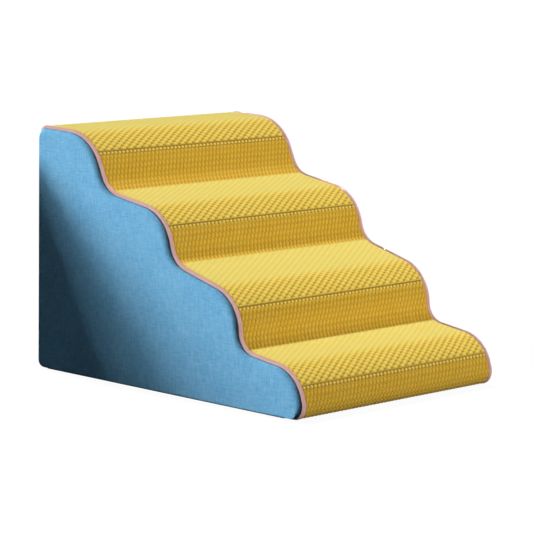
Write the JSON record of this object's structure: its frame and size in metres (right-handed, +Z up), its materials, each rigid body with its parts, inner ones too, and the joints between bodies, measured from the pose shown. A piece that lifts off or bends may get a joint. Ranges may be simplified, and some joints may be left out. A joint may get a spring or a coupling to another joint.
{
  "type": "pet stairs",
  "caption": "Foam pet stairs with rounded steps in a zipped fabric cover, piped along both step edges.",
  "frame": {"origin": "on the floor, under the middle of the stairs", "axes": "+Z up, +Y towards the tall back, -Y towards the lowest step, +X across the steps"},
  "size_m": [0.45, 0.5984, 0.3981],
  "materials": {
    "tread_knit": "coarse spacer knit",
    "side_linen": "fine linen weave",
    "back_linen": "fine linen weave",
    "grip_cloth": "woven cloth with grip dots",
    "piping_cloth": "plain woven bias strip",
    "piping_cord": "braided cord",
    "support_foam": "open-cell foam",
    "soft_foam": "open-cell foam",
    "zip_tape": "woven tape",
    "zip_teeth": "moulded",
    "zip_metal": "satin plated"
  },
  "bodies": {
    "stairs": {"foam_core": "support_foam", "comfort_layer": "soft_foam", "tread_panel": "tread_knit", "back_panel_upper": "back_linen", "back_panel_lower": "back_linen", "base_panel": "grip_cloth", "side_panel_left": "side_linen", "side_panel_right": "side_linen", "piping_left": "piping_cloth", "piping_right": "piping_cloth", "piping_cord_left": "piping_cord", "piping_cord_right": "piping_cord", "zip_teeth_upper": "zip_teeth", "zip_teeth_lower": "zip_teeth", "zip_tape_upper": "zip_tape", "zip_tape_lower": "zip_tape", "zip_top_stop_upper": "zip_metal", "zip_top_stop_lower": "zip_metal", "zip_bottom_stop": "zip_metal"},
    "slider": {"zip_slider": "zip_metal"},
    "pull": {"zip_pull": "zip_metal"}
  },
  "joints": [
    {"name": "zip_open", "type": "slide", "parent": "stairs", "child": "slider", "axis": [-1, 0, 0], "range_m": [0, 0.3727], "deforming": ["zip_teeth_upper", "zip_teeth_lower"]},
    {"name": "pull_flip", "type": "hinge", "parent": "slider", "child": "pull", "pos_m": [0.19, 0.2983, 0.075], "axis": [0, 0, -1], "range_deg": [0, 180]}
  ]
}
